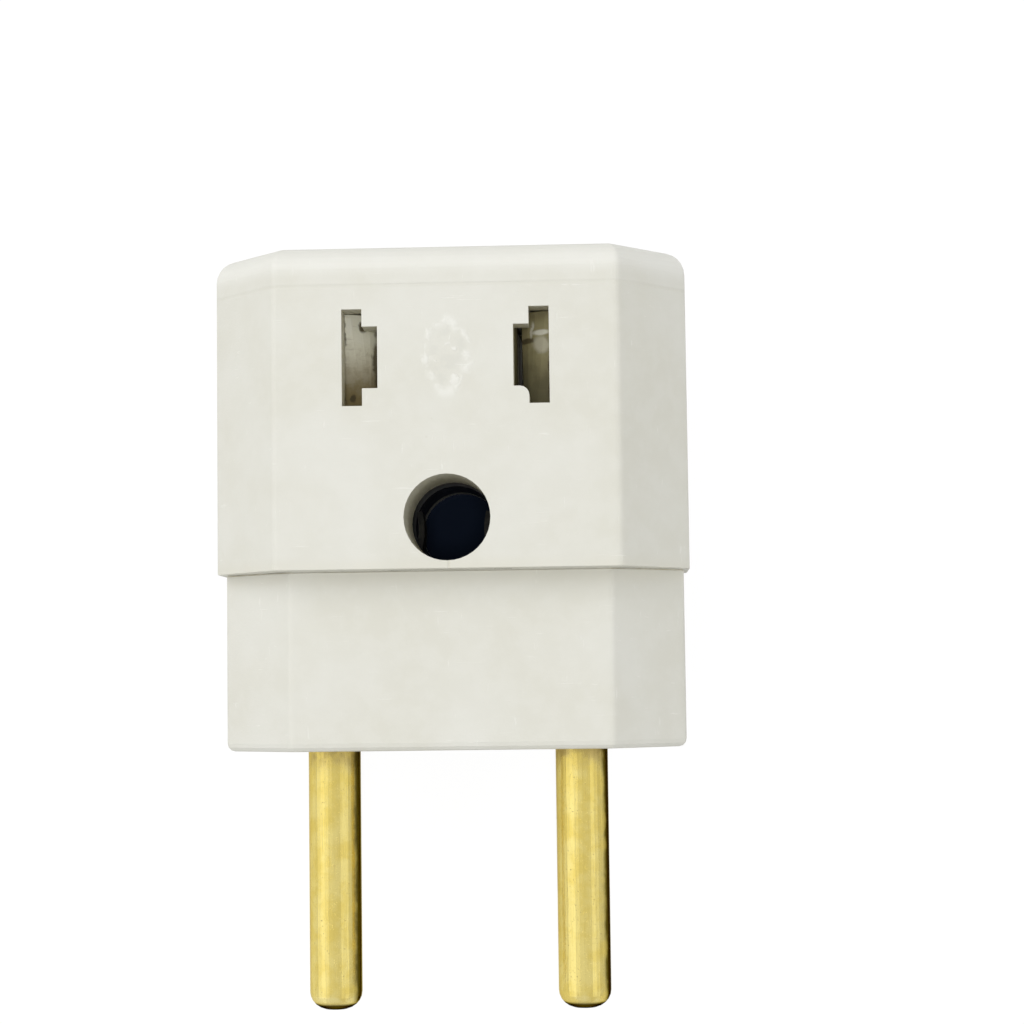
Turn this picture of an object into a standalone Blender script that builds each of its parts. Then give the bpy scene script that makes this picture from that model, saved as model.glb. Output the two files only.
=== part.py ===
"""Two-pin plug adapter with a three-hole outlet on its front and another on its back.

An outlet hood stands on a narrower plug base. Inside, a moulded carrier holds the spring
contacts of both poles, a busbar ties each pole to its round pin, and a screw holds the
earth clip that both earth holes share.

Units are metres, +Z up. The adapter lies on its back: the front outlet looks up (+Z), the
pins point along -Y, and X is the width. The origin is under the middle of the footprint.

Every piece is drawn in the body frame: x is the width, y runs up the body from the step
between hood and base, z is the depth with its zero at mid-depth. "Pole" is -1 for the left
side and +1 for the right.
"""

import math

import bmesh
import bpy
from mathutils import Matrix, Vector

MM = 0.001

# Driving dimensions
hood_width = 35.8 * MM
hood_depth = 19.0 * MM
hood_chamfer_width = 5.1 * MM
hood_chamfer_depth = 5.6 * MM
hood_wall = 2.2 * MM
hood_top_radius = 1.8 * MM
moulding_corner_radius = 0.7 * MM

base_side_step = 0.4 * MM
base_face_step = 2.9 * MM
base_height = 13.4 * MM
base_chamfer_width = 5.45 * MM
base_chamfer_depth = 4.5 * MM
base_floor = 3.5 * MM
base_end_radius = 0.6 * MM
base_face_wall = 1.8 * MM
base_hollow_chamfer = 1.2 * MM
spigot_height = 2.5 * MM
spigot_root = 0.6 * MM
spigot_wall = 1.4 * MM
snap_lug_width = 6.0 * MM
snap_lug_height = 1.2 * MM
snap_lug_reach = 0.5 * MM

slot_below_top = 8.45 * MM
slot_to_earth = 11.9 * MM
earth_above_step = 3.75 * MM
slot_spacing = 12.7 * MM
front_slot_length = 7.2 * MM
front_slot_tall_width = 1.5 * MM
front_slot_notch_width = 1.15 * MM
front_slot_notch_length = 4.6 * MM
front_slot_worn_radius = 0.7 * MM
back_slot_length = 7.2 * MM
back_slot_width = 2.35 * MM
earth_hole_diameter = 6.4 * MM
earth_tube_wall = 1.1 * MM

pin_spacing = 19.0 * MM
pin_diameter = 4.0 * MM
pin_reach = 19.7 * MM
pin_dome_height = 1.35 * MM
pin_collar_diameter = 6.4 * MM
pin_collar_height = 1.2 * MM
pin_tail_diameter = 2.8 * MM
pin_head_diameter = 4.4 * MM
pin_head_height = 0.7 * MM
washer_diameter = 5.8 * MM
washer_thickness = 0.5 * MM

busbar_thickness = 0.6 * MM
busbar_riser_width = 4.4 * MM
busbar_foot_gap = 0.7 * MM
busbar_face_gap = 1.0 * MM
busbar_wall_gap = 0.4 * MM
busbar_reach = 3.8 * MM
busbar_riser_height = 4.0 * MM
busbar_bend_radius = 0.8 * MM

contact_thickness = 0.5 * MM
contact_setback = 0.6 * MM
contact_top_drop = 0.6 * MM
contact_mouth_fall = 2.0 * MM
contact_bend_radius = 0.7 * MM
contact_blend_length = 0.9 * MM
contact_heel_width = 5.0 * MM
contact_pinch = 0.4 * MM
contact_bow_inner = 0.1 * MM
rivet_diameter = 1.6 * MM
rivet_head_diameter = 2.9 * MM
rivet_head_height = 0.45 * MM

earth_pin_diameter = 4.8 * MM
earth_clip_thickness = 0.45 * MM
earth_clip_foot_width = 6.4 * MM
earth_clip_arm_width = 2.6 * MM
earth_clip_arm_end = 1.0 * MM
earth_clip_spread = 6.7 * MM
earth_clip_grip = 0.2 * MM
earth_clip_bend_radius = 0.8 * MM

screw_diameter = 3.0 * MM
screw_head_diameter = 5.8 * MM
screw_head_height = 1.8 * MM
screw_recess_diameter = 7.4 * MM
screw_recess_depth = 3.0 * MM
screw_boss_height = 5.4 * MM
screw_boss_width = 9.4 * MM
screw_slot_width = 0.8 * MM
screw_slot_depth = 0.8 * MM
nut_width = 5.4 * MM
nut_height = 2.0 * MM

carrier_web = 2.4 * MM
carrier_rib = 1.4 * MM

touch_gap = 0.3 * MM
pin_gap = 0.2 * MM
seat_gap = 0.1 * MM

# Worked out from the driving dimensions
hood_height = slot_below_top + slot_to_earth + earth_above_step
slot_height_above_step = earth_above_step + slot_to_earth
overall_length = hood_height + base_height + pin_reach
step_y = overall_length / 2 - hood_height
mid_depth = hood_depth / 2
front_wall_inside = hood_depth / 2 - hood_wall
base_end_y = -base_height
floor_top_y = base_end_y + base_floor
base_width = hood_width - 2 * base_side_step
base_depth = hood_depth - 2 * base_face_step
base_hollow_depth = base_depth - 2 * base_face_wall
pin_x = pin_spacing / 2
busbar_outer_x = pin_x + busbar_reach
busbar_foot_width = base_hollow_depth - 2 * busbar_foot_gap
busbar_top_width = 2 * (front_wall_inside - busbar_face_gap)
slot_x = slot_spacing / 2
slot_outer_x = slot_x + (front_slot_tall_width + front_slot_notch_width) / 2
slot_inner_x = slot_x - (front_slot_tall_width + front_slot_notch_width) / 2
spigot_inset = hood_wall + touch_gap

# Clearance that a cutter runs past the face it cuts through
overrun = 1.0 * MM


def clear_scene():
    for item in list(bpy.data.objects):
        bpy.data.objects.remove(item, do_unlink=True)


def make_material(name, colour, roughness, metallic=0.0):
    material = bpy.data.materials.new(name)
    material.use_nodes = True
    shader = material.node_tree.nodes["Principled BSDF"]
    shader.inputs["Base Color"].default_value = (*colour, 1.0)
    shader.inputs["Roughness"].default_value = roughness
    shader.inputs["Metallic"].default_value = metallic
    return material


def make_part(name, mesh, material, parent):
    """A visible piece: one object, its own copy of the material, carried by the body frame."""
    part = bpy.data.objects.new(name, mesh)
    bpy.context.scene.collection.objects.link(part)
    part.parent = parent
    own = material.copy()
    own.name = name
    mesh.materials.append(own)
    mesh.shade_smooth()
    mesh.set_sharp_from_angle(angle=math.radians(35))
    return part


def make_tool(name, mesh, parent):
    """A helper shape for a Boolean, never part of the model."""
    tool = bpy.data.objects.new("tool_" + name, mesh)
    bpy.context.scene.collection.objects.link(tool)
    tool.parent = parent
    tool.hide_render = True
    tool.display_type = 'WIRE'
    return tool


def boolean(part, tool, operation):
    step = part.modifiers.new(operation.lower() + "_" + tool.name, 'BOOLEAN')
    step.operation = operation
    step.object = tool


def mesh_from(name, bm):
    bmesh.ops.recalc_face_normals(bm, faces=bm.faces)
    mesh = bpy.data.meshes.new(name)
    bm.to_mesh(mesh)
    bm.free()
    return mesh


# Outlines

def octagon(width, depth, chamfer_width, chamfer_depth, inset=0.0):
    """Corners (x, z) of a rectangle with chamfered corners, every side moved in by inset."""
    half_width = width / 2
    half_depth = depth / 2
    length = math.hypot(chamfer_width, chamfer_depth)
    normal_x = chamfer_depth / length
    normal_z = chamfer_width / length
    reach = normal_x * (half_width - chamfer_width) + normal_z * half_depth - inset
    side_x = half_width - inset
    face_z = half_depth - inset
    corner_x = (reach - normal_z * face_z) / normal_x
    corner_z = (reach - normal_x * side_x) / normal_z
    return [
        (corner_x, face_z), (side_x, corner_z), (side_x, -corner_z), (corner_x, -face_z),
        (-corner_x, -face_z), (-side_x, -corner_z), (-side_x, corner_z), (-corner_x, face_z),
    ]


def round_corners(corners, radius, steps=3):
    """The same closed outline with an arc at each corner."""
    outline = []
    count = len(corners)
    for index in range(count):
        here = Vector(corners[index])
        before = (Vector(corners[index - 1]) - here).normalized()
        after = (Vector(corners[(index + 1) % count]) - here).normalized()
        half_angle = before.angle(after) / 2
        centre = here + (before + after).normalized() * radius / math.sin(half_angle)
        start = here + before * radius / math.tan(half_angle) - centre
        end = here + after * radius / math.tan(half_angle) - centre
        sweep = start.angle_signed(end)
        for step in range(steps + 1):
            turn = Matrix.Rotation(-sweep * step / steps, 2)
            outline.append(tuple(centre + turn @ start))
    return outline


def arc(centre, radius, start_degrees, end_degrees, steps):
    points = []
    for step in range(steps + 1):
        angle = math.radians(start_degrees + (end_degrees - start_degrees) * step / steps)
        points.append((centre[0] + radius * math.cos(angle), centre[1] + radius * math.sin(angle)))
    return points


def round_bends(path, radius, steps=4):
    """An open path (x, y) with an arc at each inner point."""
    points = [path[0]]
    for before, here, after in zip(path, path[1:], path[2:]):
        corner = Vector(here)
        back = (Vector(before) - corner).normalized()
        ahead = (Vector(after) - corner).normalized()
        half_angle = back.angle(ahead) / 2
        centre = corner + (back + ahead).normalized() * radius / math.sin(half_angle)
        start = corner + back * radius / math.tan(half_angle) - centre
        end = corner + ahead * radius / math.tan(half_angle) - centre
        sweep = start.angle_signed(end)
        for step in range(steps + 1):
            turn = Matrix.Rotation(-sweep * step / steps, 2)
            points.append(tuple(centre + turn @ start))
    points.append(path[-1])
    return points


# Solids

def loft_up(name, rings):
    """Closed solid through rings of points (x, z), each ring at its own y."""
    bm = bmesh.new()
    loops = []
    for y, outline in rings:
        loops.append([bm.verts.new((x, y, z)) for x, z in outline])
    for lower, upper in zip(loops, loops[1:]):
        for index in range(len(lower)):
            after = (index + 1) % len(lower)
            bm.faces.new((lower[index], lower[after], upper[after], upper[index]))
    bm.faces.new(loops[0])
    bm.faces.new(list(reversed(loops[-1])))
    return mesh_from(name, bm)


def extrude_depth(name, outline, z_from, z_to):
    """Closed solid from an outline (x, y), extruded along the depth."""
    bm = bmesh.new()
    near = [bm.verts.new((x, y, z_from)) for x, y in outline]
    face = bm.faces.new(near)
    moved = bmesh.ops.extrude_face_region(bm, geom=[face])
    verts = [item for item in moved["geom"] if isinstance(item, bmesh.types.BMVert)]
    bmesh.ops.translate(bm, vec=(0, 0, z_to - z_from), verts=verts)
    return mesh_from(name, bm)


def box(name, x_range, y_range, z_range):
    outline = [
        (x_range[0], y_range[0]), (x_range[1], y_range[0]),
        (x_range[1], y_range[1]), (x_range[0], y_range[1]),
    ]
    return extrude_depth(name, outline, *z_range)


def cylinder(name, radius, axis, centre, start, end, segments=32):
    """A round bar along x, y or z, from start to end on that axis; centre is its other two."""
    bm = bmesh.new()
    bmesh.ops.create_cone(
        bm, cap_ends=True, segments=segments, radius1=radius, radius2=radius, depth=end - start)
    middle = (start + end) / 2
    if axis == 'X':
        turn = Matrix.Rotation(math.radians(90), 4, 'Y')
        place = Matrix.Translation((middle, centre[0], centre[1]))
    elif axis == 'Y':
        turn = Matrix.Rotation(math.radians(90), 4, 'X')
        place = Matrix.Translation((centre[0], middle, centre[1]))
    else:
        turn = Matrix.Identity(4)
        place = Matrix.Translation((centre[0], centre[1], middle))
    bmesh.ops.transform(bm, matrix=place @ turn, verts=bm.verts)
    return mesh_from(name, bm)


def turned(name, profile, segments=32):
    """Solid of revolution about the y axis from a profile (radius, y) that ends on the axis."""
    bm = bmesh.new()
    rings = []
    for radius, y in profile:
        if radius == 0:
            rings.append([bm.verts.new((0, y, 0))])
            continue
        ring = []
        for index in range(segments):
            angle = 2 * math.pi * index / segments
            ring.append(bm.verts.new((radius * math.cos(angle), y, radius * math.sin(angle))))
        rings.append(ring)
    for lower, upper in zip(rings, rings[1:]):
        for index in range(segments):
            after = (index + 1) % segments
            if len(lower) == 1:
                bm.faces.new((lower[0], upper[after], upper[index]))
            elif len(upper) == 1:
                bm.faces.new((lower[index], lower[after], upper[0]))
            else:
                bm.faces.new((lower[index], lower[after], upper[after], upper[index]))
    return mesh_from(name, bm)


def sheet(name, rows):
    """Open surface through rows of points (x, y, z), to be given its gauge by Solidify."""
    bm = bmesh.new()
    grid = [[bm.verts.new(point) for point in row] for row in rows]
    for lower, upper in zip(grid, grid[1:]):
        for index in range(len(lower) - 1):
            bm.faces.new((lower[index], lower[index + 1], upper[index + 1], upper[index]))
    return mesh_from(name, bm)


def give_gauge(part, thickness):
    gauge = part.modifiers.new("gauge", 'SOLIDIFY')
    gauge.thickness = thickness
    gauge.offset = 0.0
    gauge.use_even_offset = True


# Outlet hood

def hood_outline(inset, corner_radius):
    corners = octagon(hood_width, hood_depth, hood_chamfer_width, hood_chamfer_depth, inset)
    return round_corners(corners, corner_radius)


def hood_shell_mesh():
    """Outer skin from the rim up, its top edge rounded all the way round."""
    rings = [(0.0, hood_outline(0.0, moulding_corner_radius))]
    steps = 6
    for step in range(steps + 1):
        angle = math.radians(90 * step / steps)
        inset = hood_top_radius * (1 - math.cos(angle))
        y = hood_height - hood_top_radius * (1 - math.sin(angle))
        radius = max(moulding_corner_radius - inset, moulding_corner_radius / 4)
        rings.append((y, hood_outline(inset, radius)))
    return loft_up("outlet_hood", rings)


def front_slot_outline(pole):
    """Tall slot with a shorter notch on the side of the other pole."""
    tall_inner = slot_outer_x - front_slot_tall_width
    tall = front_slot_length / 2
    notch = front_slot_notch_length / 2
    outline = [(tall_inner, tall), (slot_outer_x, tall), (slot_outer_x, -tall), (tall_inner, -tall)]
    if pole > 0:
        radius = front_slot_worn_radius
        centre = (tall_inner - radius, -notch - radius)
        outline += arc(centre, radius, 0, 90, 4)
    else:
        outline.append((tall_inner, -notch))
    outline += [(slot_inner_x, -notch), (slot_inner_x, notch), (tall_inner, notch)]
    return [(pole * x, slot_height_above_step + y) for x, y in outline]


def make_hood(material, frame):
    hood = make_part("outlet_hood", hood_shell_mesh(), material, frame)
    hollow_top = hood_height - hood_wall
    hollow = hood_outline(hood_wall, moulding_corner_radius)
    boolean(hood, make_tool("hood_hollow", loft_up(
        "hood_hollow", [(-overrun, hollow), (hollow_top, hollow)]), frame), 'DIFFERENCE')

    tube_radius = earth_hole_diameter / 2 + earth_tube_wall
    tube_end = earth_clip_arm_width / 2 + touch_gap
    for side, face in ((1, "front"), (-1, "back")):
        z_range = sorted((side * tube_end, side * (front_wall_inside + hood_wall / 2)))
        tube = cylinder(face + "_tube", tube_radius, 'Z', (0, earth_above_step), *z_range)
        boolean(hood, make_tool(face + "_tube", tube, frame), 'UNION')
        for pole, name in ((-1, "left"), (1, "right")):
            if side > 0:
                outline = front_slot_outline(pole)
            else:
                half = back_slot_length / 2
                outline = [
                    (pole * slot_x + dx * back_slot_width / 2, slot_height_above_step + dy * half)
                    for dx, dy in ((-1, -1), (1, -1), (1, 1), (-1, 1))
                ]
            z_range = sorted((side * (hood_depth / 2 + overrun), side * (front_wall_inside - overrun)))
            slot = extrude_depth(face + "_slot_" + name, outline, *z_range)
            boolean(hood, make_tool(face + "_slot_" + name, slot, frame), 'DIFFERENCE')

    reach = hood_depth / 2 + overrun
    hole = cylinder("earth_holes", earth_hole_diameter / 2, 'Z', (0, earth_above_step), -reach, reach, 40)
    boolean(hood, make_tool("earth_holes", hole, frame), 'DIFFERENCE')

    # The tubes' lower sides are trimmed flush with the rim, and a gap higher inside the walls
    half_width = hood_width / 2 + overrun
    trim = box("rim_trim", (-half_width, half_width), (-base_height, 0.0), (-reach, reach))
    boolean(hood, make_tool("rim_trim", trim, frame), 'DIFFERENCE')
    tube_trim = box(
        "tube_trim", (-tube_radius, tube_radius), (-overrun, touch_gap),
        (-front_wall_inside, front_wall_inside))
    boolean(hood, make_tool("tube_trim", tube_trim, frame), 'DIFFERENCE')

    # Pockets for the base's snap lugs
    lug_low, lug_high, lug_tip = snap_lug_place()
    for pole, name in ((-1, "left"), (1, "right")):
        x_range = sorted((pole * (spigot_side_x() - overrun), pole * (lug_tip + touch_gap)))
        half_lug = snap_lug_width / 2 + touch_gap
        pocket = box(
            "snap_pocket_" + name, x_range,
            (lug_low - touch_gap, lug_high + touch_gap), (-half_lug, half_lug))
        boolean(hood, make_tool("snap_pocket_" + name, pocket, frame), 'DIFFERENCE')
    return hood


# Plug base

def spigot_side_x():
    return hood_width / 2 - spigot_inset


def snap_lug_place():
    """Lowest and highest y of a snap lug and the x of its tip."""
    low = spigot_height - snap_lug_height - touch_gap
    return low, low + snap_lug_height, spigot_side_x() + snap_lug_reach


def base_outline(inset, corner_radius):
    corners = octagon(base_width, base_depth, base_chamfer_width, base_chamfer_depth, inset)
    return round_corners(corners, corner_radius)


def base_body_mesh():
    rings = []
    steps = 3
    for step in range(steps + 1):
        angle = math.radians(90 * step / steps)
        inset = base_end_radius * (1 - math.sin(angle))
        y = base_end_y + base_end_radius * (1 - math.cos(angle))
        radius = max(moulding_corner_radius - inset, moulding_corner_radius / 4)
        rings.append((y, base_outline(inset, radius)))
    rings.append((-seat_gap, base_outline(0.0, moulding_corner_radius)))
    return loft_up("plug_base", rings)


def make_base(material, frame):
    base = make_part("plug_base", base_body_mesh(), material, frame)

    # Spigot that plugs the hood's mouth, its foot sunk into the body behind the faces
    spigot = hood_outline(spigot_inset, moulding_corner_radius)
    thinner = min(1.0, (base_depth / 2 - touch_gap) / (hood_depth / 2 - spigot_inset))
    foot = [(x, z * thinner) for x, z in spigot]
    boolean(base, make_tool("spigot", loft_up("spigot", [
        (-spigot_root, foot), (-seat_gap, foot), (0.0, spigot), (spigot_height, spigot),
    ]), frame), 'UNION')

    # Hollow wide enough for the busbars below the step, and inside the spigot's walls above it
    rings = []
    for y, half_width in (
            (floor_top_y, busbar_outer_x + busbar_thickness / 2 + busbar_wall_gap),
            (-2 * spigot_root, busbar_outer_x + busbar_thickness / 2 + busbar_wall_gap),
            (-spigot_root, spigot_side_x() - spigot_wall),
            (spigot_height + overrun, spigot_side_x() - spigot_wall)):
        corners = octagon(
            2 * half_width, base_hollow_depth, base_hollow_chamfer, base_hollow_chamfer)
        rings.append((y, round_corners(corners, moulding_corner_radius)))
    boolean(base, make_tool("base_hollow", loft_up("base_hollow", rings), frame), 'DIFFERENCE')

    # Boss under the earth clip, which joins both walls
    boss_top = floor_top_y + screw_boss_height
    half_boss = screw_boss_width / 2
    half_depth = base_hollow_depth / 2 + touch_gap
    boss = box(
        "screw_boss", (-half_boss, half_boss), (floor_top_y - overrun, boss_top),
        (-half_depth, half_depth))
    boolean(base, make_tool("screw_boss", boss, frame), 'UNION')
    shaft = cylinder(
        "screw_way", screw_diameter / 2 + touch_gap, 'Y', (0, 0), base_end_y - overrun, boss_top + overrun)
    boolean(base, make_tool("screw_way", shaft, frame), 'DIFFERENCE')
    recess = cylinder(
        "screw_recess", screw_recess_diameter / 2, 'Y', (0, 0),
        base_end_y - overrun, base_end_y + screw_recess_depth, 40)
    boolean(base, make_tool("screw_recess", recess, frame), 'DIFFERENCE')

    for pole, name in ((-1, "left"), (1, "right")):
        hole = cylinder(
            "pin_hole_" + name, pin_diameter / 2 + pin_gap, 'Y', (pole * pin_x, 0),
            base_end_y - overrun, floor_top_y + overrun)
        boolean(base, make_tool("pin_hole_" + name, hole, frame), 'DIFFERENCE')

        lug_low, lug_high, lug_tip = snap_lug_place()
        root = spigot_side_x() - touch_gap
        outline = [
            (pole * root, lug_low), (pole * lug_tip, lug_low),
            (pole * lug_tip, lug_low + snap_lug_height / 4), (pole * root, lug_high),
        ]
        lug = extrude_depth("snap_lug_" + name, outline, -snap_lug_width / 2, snap_lug_width / 2)
        boolean(base, make_tool("snap_lug_" + name, lug, frame), 'UNION')

    # Gaps in the spigot for the hood's earth tubes
    notch_half = earth_hole_diameter / 2 + earth_tube_wall + touch_gap
    for side, face in ((1, "front"), (-1, "back")):
        z_range = sorted((side * base_hollow_depth / 4, side * hood_depth / 2))
        notch = box(
            face + "_notch", (-notch_half, notch_half), (0.0, spigot_height + overrun), z_range)
        boolean(base, make_tool(face + "_notch", notch, frame), 'DIFFERENCE')
    return base


# Contact carrier

def make_carrier(material, frame):
    """Moulding that fills the hood above the spigot and keeps the three circuits apart."""
    low = spigot_height + touch_gap
    high = hood_height - hood_wall - touch_gap
    outline = hood_outline(spigot_inset, moulding_corner_radius)
    mesh = loft_up("contact_carrier", [(low, outline), (high, outline)])
    carrier = make_part("contact_carrier", mesh, material, frame)

    reach = hood_depth / 2
    tube_clear = earth_hole_diameter / 2 + earth_tube_wall + touch_gap
    pocket_top = slot_height_above_step + front_slot_length / 2 + touch_gap
    contact_inner = contact_inner_x() - contact_thickness / 2 - touch_gap
    contact_outer = rivet_outer_x() + touch_gap
    heel_inner = contact_heel_x() - contact_thickness / 2 - touch_gap
    shelf_y = contact_joggle_y() - 2 * touch_gap
    for pole, name in ((-1, "left"), (1, "right")):
        for part_name, inner, y_range in (
                ("contact_pocket_", contact_inner, (shelf_y, pocket_top)),
                ("busbar_way_", heel_inner, (low - overrun, shelf_y + overrun))):
            x_range = sorted((pole * inner, pole * contact_outer))
            pocket = box(part_name + name, x_range, y_range, (-reach, reach))
            boolean(carrier, make_tool(part_name + name, pocket, frame), 'DIFFERENCE')

    earth_top = earth_above_step + tube_clear
    earth_pocket = box(
        "earth_pocket", (-tube_clear, tube_clear), (low - overrun, earth_top), (-reach, reach))
    boolean(carrier, make_tool("earth_pocket", earth_pocket, frame), 'DIFFERENCE')

    # Cored-out middle, from the front and from the back, down to a thin web
    core_half = contact_inner - carrier_rib
    for side, face in ((1, "front"), (-1, "back")):
        z_range = sorted((side * carrier_web / 2, side * reach))
        core = box(
            face + "_coring", (-core_half, core_half),
            (earth_top + carrier_rib, pocket_top), z_range)
        boolean(carrier, make_tool(face + "_coring", core, frame), 'DIFFERENCE')
    return carrier


# Pins, washers and busbars

def busbar_foot_y():
    """Middle of the busbar's foot, which lies on the pin's collar."""
    return floor_top_y + touch_gap + pin_collar_height + touch_gap + busbar_thickness / 2


def washer_low_y():
    return busbar_foot_y() + busbar_thickness / 2 + touch_gap


def make_pin(pole, name, material, frame):
    collar_low = floor_top_y + touch_gap
    collar_high = collar_low + pin_collar_height
    head_low = washer_low_y() + washer_thickness + touch_gap
    head_high = head_low + pin_head_height
    tip_y = base_end_y - pin_reach
    radius = pin_diameter / 2
    flat_end = radius * 0.25
    profile = [(0.0, tip_y), (flat_end, tip_y)]
    steps = 6
    for step in range(1, steps + 1):
        angle = math.radians(90 * step / steps)
        profile.append((
            flat_end + (radius - flat_end) * math.sin(angle),
            tip_y + pin_dome_height * (1 - math.cos(angle))))
    profile += [
        (radius, collar_low), (pin_collar_diameter / 2, collar_low),
        (pin_collar_diameter / 2, collar_high), (pin_tail_diameter / 2, collar_high),
        (pin_tail_diameter / 2, head_low), (pin_head_diameter / 2, head_low),
        (pin_head_diameter / 2, head_low + pin_head_height / 2), (pin_tail_diameter / 2, head_high),
        (0.0, head_high),
    ]
    pin = make_part("line_pin_" + name, turned("line_pin_" + name, profile, 40), material, frame)
    pin.location.x = pole * pin_x
    return pin


def make_washer(pole, name, material, frame):
    low = washer_low_y()
    mesh = cylinder(
        "pin_washer_" + name, washer_diameter / 2, 'Y', (0, 0), low, low + washer_thickness)
    washer = make_part("pin_washer_" + name, mesh, material, frame)
    washer.location.x = pole * pin_x
    bore = cylinder(
        "washer_bore_" + name, pin_tail_diameter / 2 + touch_gap, 'Y', (0, 0),
        low - overrun / 4, low + washer_thickness + overrun / 4)
    tool = make_tool("washer_bore_" + name, bore, frame)
    tool.location.x = pole * pin_x
    boolean(washer, tool, 'DIFFERENCE')
    return washer


def busbar_x():
    """Middle of the busbar's riveted top."""
    return contact_outer_x() + contact_thickness / 2 + touch_gap + busbar_thickness / 2


def rivet_y():
    return contact_low_y() - rivet_head_diameter - touch_gap


def busbar_top_y():
    return rivet_y() + rivet_head_diameter / 2 + touch_gap


def rivet_z(side):
    """Each contact is riveted at its own middle depth."""
    return side * contact_middle_z()


def make_busbar(pole, name, material, frame):
    """One stamped strip: foot on the pin, a riser, a joggle inwards and a wide riveted top."""
    foot_y = busbar_foot_y()
    foot_inner = pin_x - washer_diameter / 2
    joggle_low = foot_y + busbar_riser_height
    joggle_high = -touch_gap
    widen_y = rivet_y() - rivet_head_diameter
    bends = round_bends([
        (foot_inner, foot_y), (busbar_outer_x, foot_y), (busbar_outer_x, joggle_low),
        (busbar_x(), joggle_high), (busbar_x(), widen_y),
    ], busbar_bend_radius)
    widths = []
    for x, y in bends:
        on_foot = y < foot_y + busbar_thickness / 2
        widths.append(busbar_foot_width if on_foot else busbar_riser_width)
    path = bends + [(busbar_x(), widen_y + overrun), (busbar_x(), busbar_top_y())]
    widths += [busbar_top_width, busbar_top_width]
    rows = [
        [(pole * x, y, side * width / 2) for side in (-1, 1)]
        for (x, y), width in zip(path, widths)
    ]
    busbar = make_part("busbar_" + name, sheet("busbar_" + name, rows), material, frame)
    give_gauge(busbar, busbar_thickness)
    hole = cylinder(
        "tail_hole_" + name, pin_tail_diameter / 2 + touch_gap, 'Y', (pole * pin_x, 0),
        foot_y - overrun, foot_y + overrun)
    boolean(busbar, make_tool("tail_hole_" + name, hole, frame), 'DIFFERENCE')
    for side, face in ((1, "front"), (-1, "back")):
        drill_rivet_hole(busbar, pole, side, face + "_busbar_hole_" + name, busbar_x(), frame)
    return busbar


def drill_rivet_hole(part, pole, side, tool_name, x, frame):
    x_range = sorted((pole * (x - busbar_thickness), pole * (x + busbar_thickness)))
    hole = cylinder(
        tool_name, rivet_diameter / 2 + touch_gap, 'X', (rivet_y(), rivet_z(side)), *x_range, 20)
    boolean(part, make_tool(tool_name, hole, frame), 'DIFFERENCE')


# Spring contacts

def contact_outer_x():
    """Middle of the flat that is riveted to the busbar, just outside the slot."""
    return slot_outer_x + contact_setback


def contact_inner_x():
    """Middle of the inner leaf at its edges, just inside the slot."""
    return slot_inner_x - contact_thickness / 2


def contact_heel_x():
    """Middle of the inner side of the heel, clear of the rivet's head."""
    return rivet_inner_x() - touch_gap - contact_thickness / 2


def contact_low_y():
    """Where both leaves start, just below the slot."""
    return slot_height_above_step - front_slot_length / 2 - touch_gap


def contact_top_y():
    return slot_height_above_step + front_slot_length / 2 - contact_top_drop


def contact_joggle_y():
    """Where the inner leaf leaves the heel and turns towards its side of the slot."""
    return rivet_y() + rivet_head_diameter / 2


def contact_heel_y():
    return rivet_y() - rivet_head_diameter / 2 - touch_gap - contact_bend_radius


def contact_root_z():
    return touch_gap


def contact_mouth_z():
    return front_wall_inside - 2 * touch_gap


def contact_middle_z():
    return (contact_mouth_z() + contact_root_z()) / 2


def rivet_inner_x():
    return contact_outer_x() - contact_thickness / 2 - touch_gap - rivet_head_height


def rivet_outer_x():
    return busbar_x() + busbar_thickness / 2 + touch_gap + rivet_head_height


def contact_depth(share, y, mouth_fall):
    """Depth z of a point of the strip, share being -1 at its root edge and 1 at its mouth edge."""
    widen = (y - contact_joggle_y()) / (contact_low_y() - contact_joggle_y())
    widen = min(max(widen, 0.0), 1.0)
    mouth = contact_middle_z() + contact_heel_width / 2
    root = contact_middle_z() - contact_heel_width / 2
    mouth += widen * (contact_mouth_z() - mouth_fall - mouth)
    root += widen * (contact_root_z() - root)
    return (mouth + root) / 2 + share * (mouth - root) / 2


def contact_column(share):
    """Points (x, y, z) down the inner leaf, round the heel and up the outer leaf, at one depth.

    The leaves stand apart at the mouth and the root and pinch between, the outer one's mouth
    turned out as a lip that shows through the slot and lies deeper towards the heel.
    """
    pinched = 1 - share ** 4 if share > 0 else math.cos(share * math.pi / 2) ** 2
    inner_x = contact_inner_x() + pinched * contact_bow_inner
    outer_pinch = contact_inner_x() + contact_bow_inner + contact_thickness + contact_pinch
    bow_outer = contact_outer_x() - outer_pinch
    leave_y = contact_low_y() - 2 * touch_gap
    inner_part = round_bends([
        (inner_x, contact_top_y()), (inner_x, contact_low_y()),
        (contact_heel_x(), contact_joggle_y()), (contact_heel_x(), contact_heel_y()),
        (contact_outer_x(), contact_heel_y()), (contact_outer_x(), contact_joggle_y()),
    ], contact_bend_radius, 3)
    column = [(x, y, contact_depth(share, y, 0.0)) for x, y in inner_part]

    steps = 5
    heights = [leave_y + contact_blend_length * step / steps for step in range(steps + 1)]
    for y in heights + [contact_top_y()]:
        ease = min((y - leave_y) / contact_blend_length, 1.0)
        ease = ease * ease * (3 - 2 * ease)
        fall = contact_mouth_fall * (contact_top_y() - y) / (contact_top_y() - contact_low_y())
        x = contact_outer_x() - pinched * bow_outer * ease
        column.append((x, y, contact_depth(share, y, fall)))
    return column


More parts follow.
